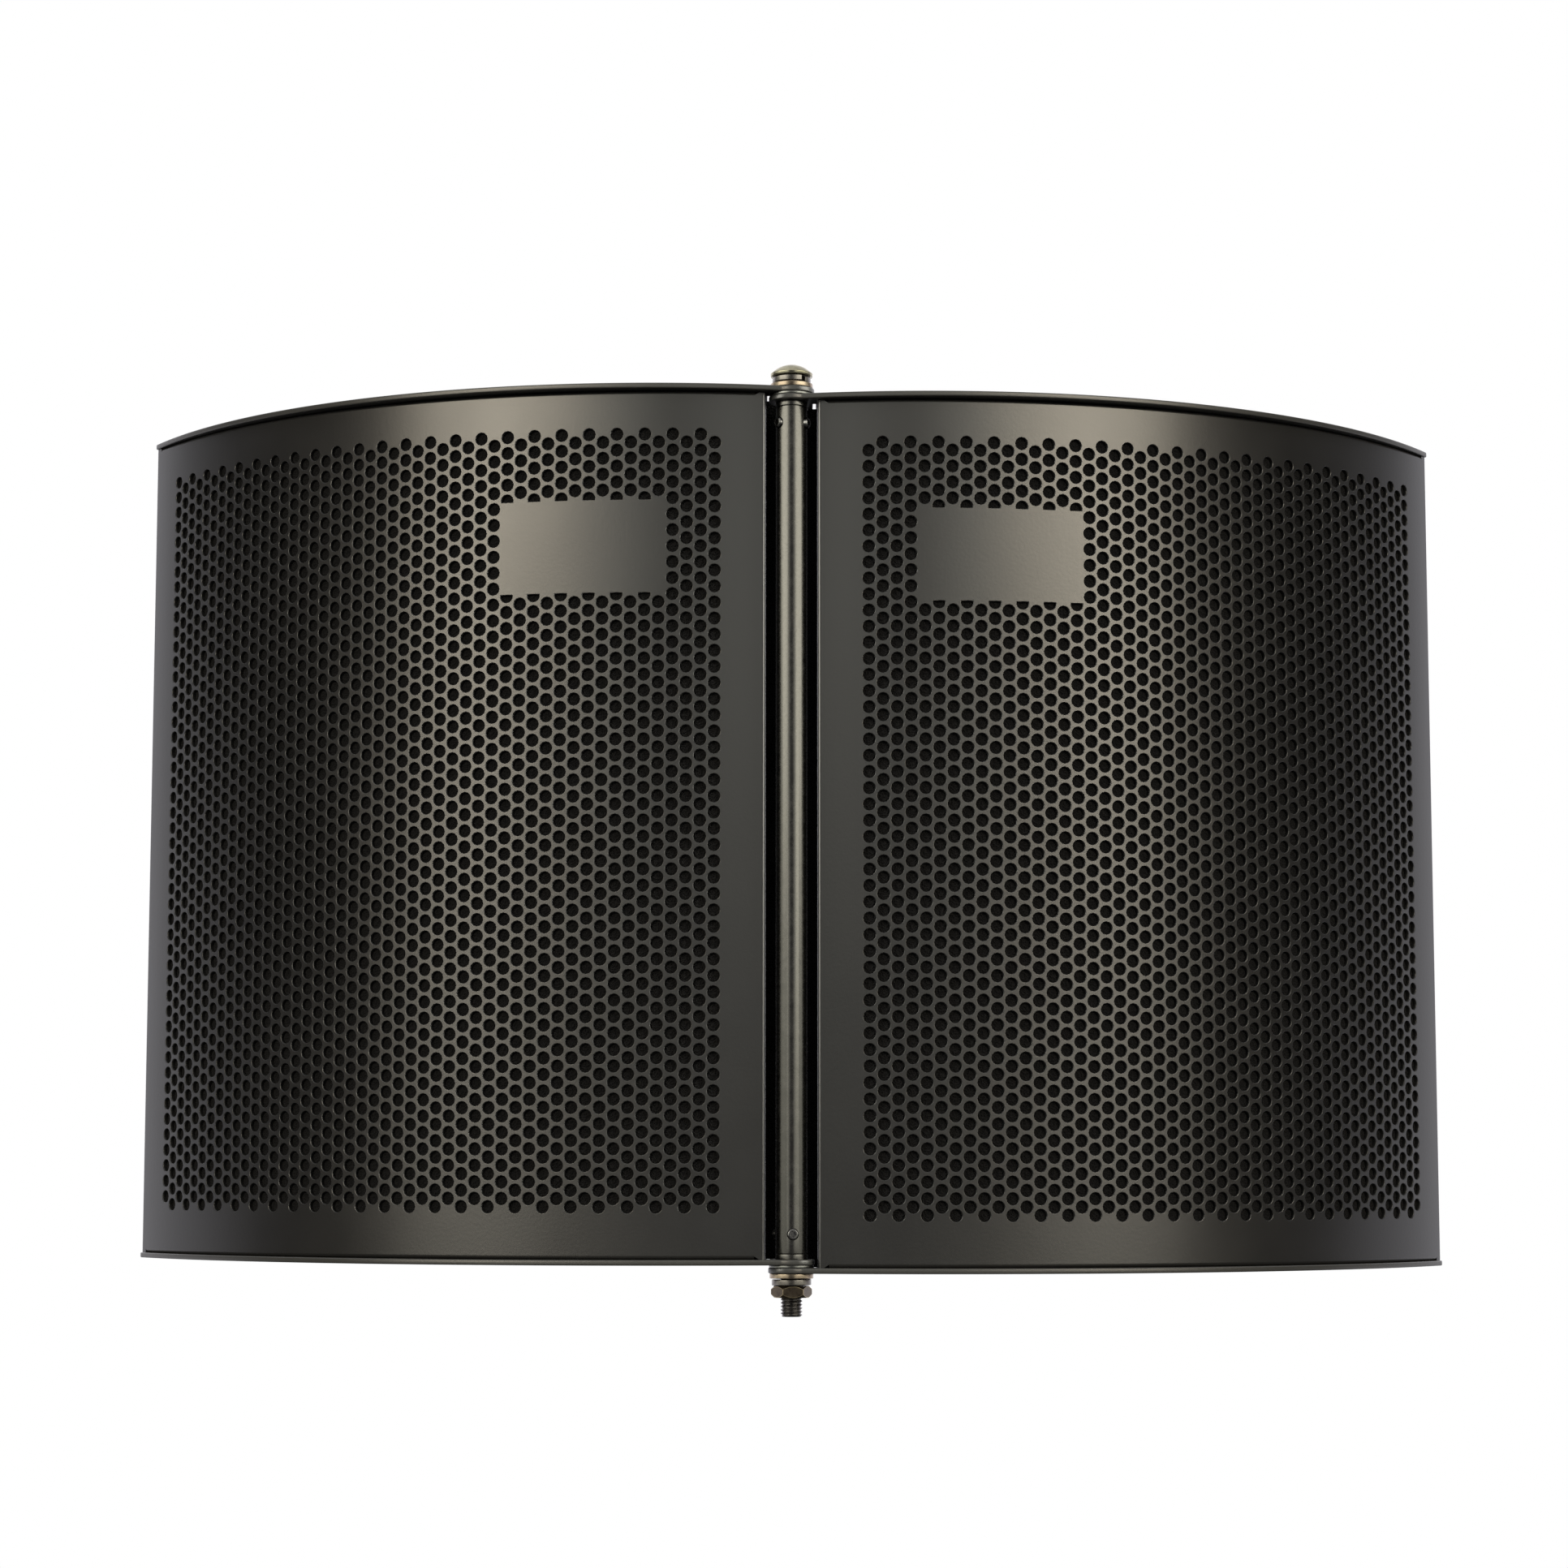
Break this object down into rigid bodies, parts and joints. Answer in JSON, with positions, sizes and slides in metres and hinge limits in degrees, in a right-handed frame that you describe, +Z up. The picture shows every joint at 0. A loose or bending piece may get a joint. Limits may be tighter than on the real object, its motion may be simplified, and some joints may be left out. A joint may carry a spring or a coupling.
{
  "type": "microphone isolation shield",
  "caption": "Curved folding microphone shield: perforated steel panels lined with acoustic foam, hinged on a central post with a threaded stud.",
  "frame": {"origin": "on the hinge axis, at the lower end face of the threaded stud", "axes": "+Z up along the post, +Y towards the foam side where the microphone stands, -Y the convex perforated side, +X to the right when looking at the convex side"},
  "size_m": [0.5114, 0.1343, 0.3526],
  "materials": {
    "panel_paint": "semi-gloss black powder coat",
    "post_finish": "glossy black nickel",
    "yellow_zinc": "yellow zinc plated",
    "spring_steel": "oiled spring steel",
    "screw_steel": "black oxide",
    "friction_disc": "dark burnished",
    "foam": "open-cell acoustic foam"
  },
  "bodies": {
    "post": {"hinge_bolt": "yellow_zinc", "hinge_tube": "post_finish", "upper_bushing": "post_finish", "lower_bushing": "post_finish", "upper_grub_screw_1": "screw_steel", "upper_grub_screw_2": "screw_steel", "upper_grub_screw_3": "screw_steel", "lower_grub_screw_1": "screw_steel", "lower_grub_screw_2": "screw_steel", "lower_grub_screw_3": "screw_steel", "upper_flat_washer": "yellow_zinc", "lower_flat_washer": "yellow_zinc", "upper_spring_washer": "spring_steel", "lower_spring_washer": "spring_steel", "upper_friction_washer": "friction_disc", "lower_friction_washer": "friction_disc", "jam_nut": "yellow_zinc"},
    "right_panel": {"right_shell": "panel_paint", "right_top_plate": "panel_paint", "right_bottom_plate": "panel_paint", "right_foam": "foam"},
    "left_panel": {"left_shell": "panel_paint", "left_top_plate": "panel_paint", "left_bottom_plate": "panel_paint", "left_foam": "foam"}
  },
  "joints": [
    {"name": "right_panel_hinge", "type": "hinge", "parent": "post", "child": "right_panel", "pos_m": [0, 0, 0.178], "axis": [0, 0, 1], "range_deg": [-48, 24]},
    {"name": "left_panel_hinge", "type": "hinge", "parent": "post", "child": "left_panel", "pos_m": [0, 0, 0.181], "axis": [0, 0, -1], "range_deg": [-48, 24]}
  ]
}
